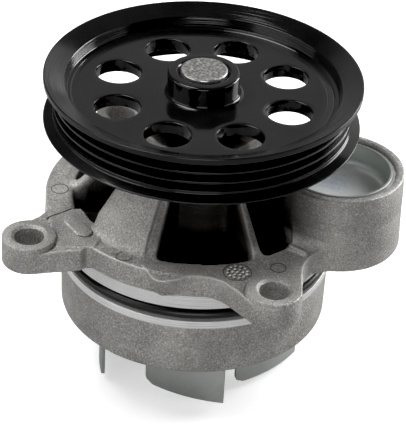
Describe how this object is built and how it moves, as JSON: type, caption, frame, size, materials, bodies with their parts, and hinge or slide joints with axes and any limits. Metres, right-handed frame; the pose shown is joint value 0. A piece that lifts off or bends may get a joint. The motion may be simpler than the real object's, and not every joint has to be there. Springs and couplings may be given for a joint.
{
  "type": "engine water pump",
  "caption": "Belt driven engine water pump: cast housing with eared flange, ribbed bearing tower, weep reservoir and skirted spigot, grooved pulley, sealed shaft bearing and pressed impeller.",
  "frame": {"origin": "on the shaft axis, in the plane of the flange's mounting face", "axes": "+Z along the shaft towards the pulley, -Z towards the impeller; +X towards the weep reservoir; the pictured side faces -Y"},
  "size_m": [0.1354, 0.1254, 0.1137],
  "materials": {
    "cast_aluminium": "shot blasted die casting with machined seats",
    "ring_rubber": "smooth black rubber",
    "plated_steel": "zinc plated pressing",
    "bearing_steel": "ground bearing steel",
    "black_rubber": "matt black rubber",
    "cage_plastic": "moulded plastic",
    "shaft_steel": "bare steel with a rough end",
    "black_paint": "satin black coating on steel",
    "sheet_steel": "plain pressed sheet steel",
    "hub_steel": "turned steel",
    "seal_brass": "drawn brass",
    "spring_steel": "stainless spring steel",
    "carbon": "lapped carbon",
    "white_ceramic": "lapped ceramic"
  },
  "bodies": {
    "housing": {"housing": "cast_aluminium", "spigot_o_ring": "ring_rubber", "reservoir_plug": "plated_steel", "bearing_outer_ring": "bearing_steel", "bearing_seal_front": "black_rubber", "bearing_seal_rear": "black_rubber", "seal_cup": "seal_brass", "seal_bellows": "black_rubber", "seal_spring": "spring_steel", "seal_collar": "spring_steel", "seal_carbon_ring": "carbon"},
    "rotor": {"shaft": "shaft_steel", "pulley": "black_paint", "impeller": "sheet_steel", "impeller_hub": "hub_steel", "seal_mating_ring": "white_ceramic", "seal_mating_boot": "black_rubber"},
    "ball_set": {"bearing_balls": "bearing_steel", "ball_cage": "cage_plastic"},
    "roller_set": {"bearing_rollers": "bearing_steel", "roller_cage": "cage_plastic"}
  },
  "joints": [
    {"name": "shaft_spin", "type": "hinge", "parent": "housing", "child": "rotor", "pos_m": [0, 0, 0], "axis": [0, 0, 1], "continuous": true},
    {"name": "ball_cage_spin", "type": "hinge", "parent": "housing", "child": "ball_set", "pos_m": [0, 0, 0.029], "axis": [0, 0, 1], "continuous": true},
    {"name": "roller_cage_spin", "type": "hinge", "parent": "housing", "child": "roller_set", "pos_m": [0, 0, 0.0145], "axis": [0, 0, 1], "continuous": true}
  ],
  "couplings": [
    {"joint": "ball_cage_spin", "follows": "shaft_spin", "ratio": 0.3612},
    {"joint": "roller_cage_spin", "follows": "shaft_spin", "ratio": 0.3842}
  ]
}
